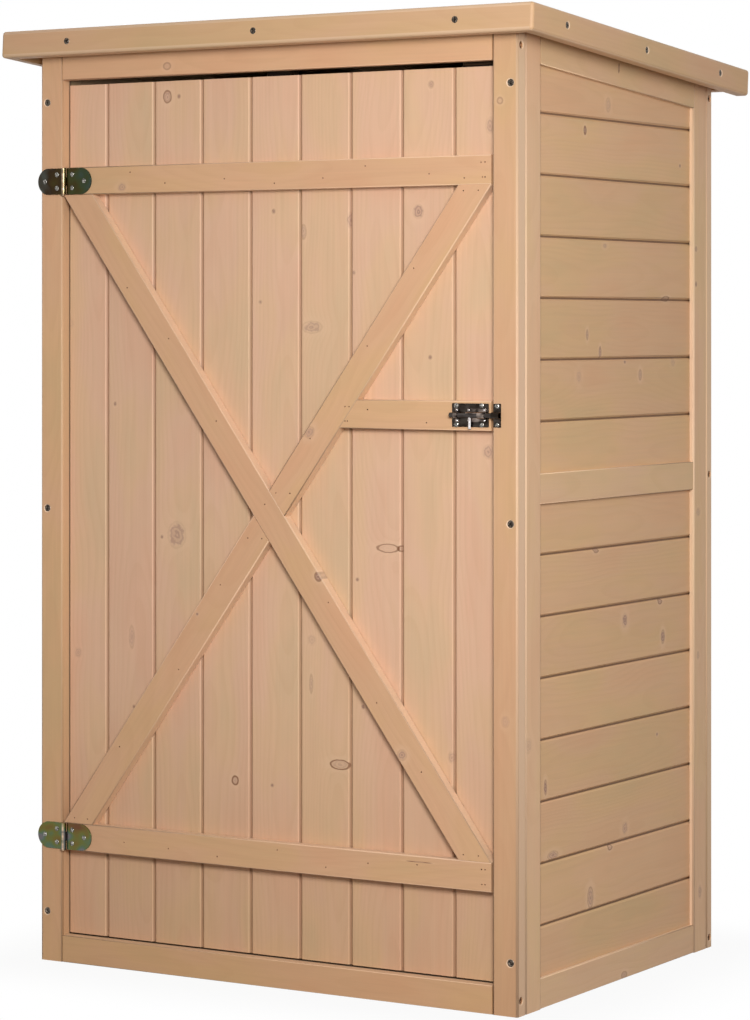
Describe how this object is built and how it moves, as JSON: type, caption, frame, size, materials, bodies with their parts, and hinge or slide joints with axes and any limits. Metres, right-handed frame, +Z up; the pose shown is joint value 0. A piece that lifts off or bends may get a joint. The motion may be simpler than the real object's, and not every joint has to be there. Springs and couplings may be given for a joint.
{
  "type": "garden storage cabinet",
  "caption": "Upright wooden garden storage cabinet with a lean-to roof, a ledged and braced plank door on surface hinges, a barrel bolt, a floor and shelves.",
  "frame": {"origin": "on the ground, under the middle of the roof's outline", "axes": "+X to the right seen from the front, +Y to the back, +Z up; the door faces -Y"},
  "size_m": [0.748, 0.5754, 1.1497],
  "materials": {
    "frame_fir": "planed, pale water-based stain",
    "door_board_fir": "planed, pale water-based stain",
    "cladding_fir": "planed, pale water-based stain",
    "roof_felt": "mineral-surfaced bitumen felt",
    "hinge_steel": "yellow zinc passivated",
    "bolt_chrome": "bright plated",
    "screw_steel": "bright zinc plated"
  },
  "bodies": {
    "cabinet": {"back_boards": "cladding_fir", "back_bottom_rail": "frame_fir", "back_middle_rail": "frame_fir", "back_stile_left": "frame_fir", "back_stile_right": "frame_fir", "back_top_rail": "frame_fir", "bolt_keep": "bolt_chrome", "bolt_keep_screws": "screw_steel", "bottom_hinge_frame_leaf": "hinge_steel", "door_stop_blocks": "frame_fir", "floor_battens": "frame_fir", "floor_boards": "cladding_fir", "front_bottom_rail": "frame_fir", "front_header": "frame_fir", "front_stile_left": "frame_fir", "front_stile_right": "frame_fir", "hinge_frame_screws": "screw_steel", "hinge_pins": "hinge_steel", "left_bottom_rail": "frame_fir", "left_front_stile": "frame_fir", "left_lower_boards": "cladding_fir", "left_middle_rail": "frame_fir", "left_rear_stile": "frame_fir", "left_top_rail": "frame_fir", "left_upper_boards": "cladding_fir", "lower_shelf_slats": "cladding_fir", "right_bottom_rail": "frame_fir", "right_front_stile": "frame_fir", "right_lower_boards": "cladding_fir", "right_middle_rail": "frame_fir", "right_rear_stile": "frame_fir", "right_top_rail": "frame_fir", "right_upper_boards": "cladding_fir", "roof_battens": "frame_fir", "roof_boards": "cladding_fir", "roof_fascia_front": "frame_fir", "roof_fascia_left": "frame_fir", "roof_fascia_rear": "frame_fir", "roof_fascia_right": "frame_fir", "roof_felt": "roof_felt", "shelf_battens": "frame_fir", "shelf_cleats": "frame_fir", "top_hinge_frame_leaf": "hinge_steel", "upper_shelf_slats": "cladding_fir"},
    "door": {"door_boards": "door_board_fir", "top_ledge": "frame_fir", "middle_ledge": "frame_fir", "bottom_ledge": "frame_fir", "long_brace": "frame_fir", "upper_brace": "frame_fir", "lower_brace": "frame_fir", "top_hinge_door_leaf": "hinge_steel", "bottom_hinge_door_leaf": "hinge_steel", "hinge_door_screws": "screw_steel", "bolt_plate": "bolt_chrome", "bolt_guides": "bolt_chrome", "bolt_plate_screws": "screw_steel"},
    "bolt": {"bolt_rod": "bolt_chrome"},
    "knob": {"bolt_knob": "bolt_chrome"}
  },
  "joints": [
    {"name": "door_hinge", "type": "hinge", "parent": "cabinet", "child": "door", "pos_m": [-0.3, -0.25805, 0.56], "axis": [0, 0, -1], "range_deg": [0, 175]},
    {"name": "bolt_slide", "type": "slide", "parent": "door", "child": "bolt", "axis": [1, 0, 0], "range_m": [-0.0105, 0.009]},
    {"name": "knob_turn", "type": "hinge", "parent": "bolt", "child": "knob", "pos_m": [0.2767, -0.25895, 0.6832], "axis": [-1, 0, 0], "range_deg": [0, 90]}
  ]
}
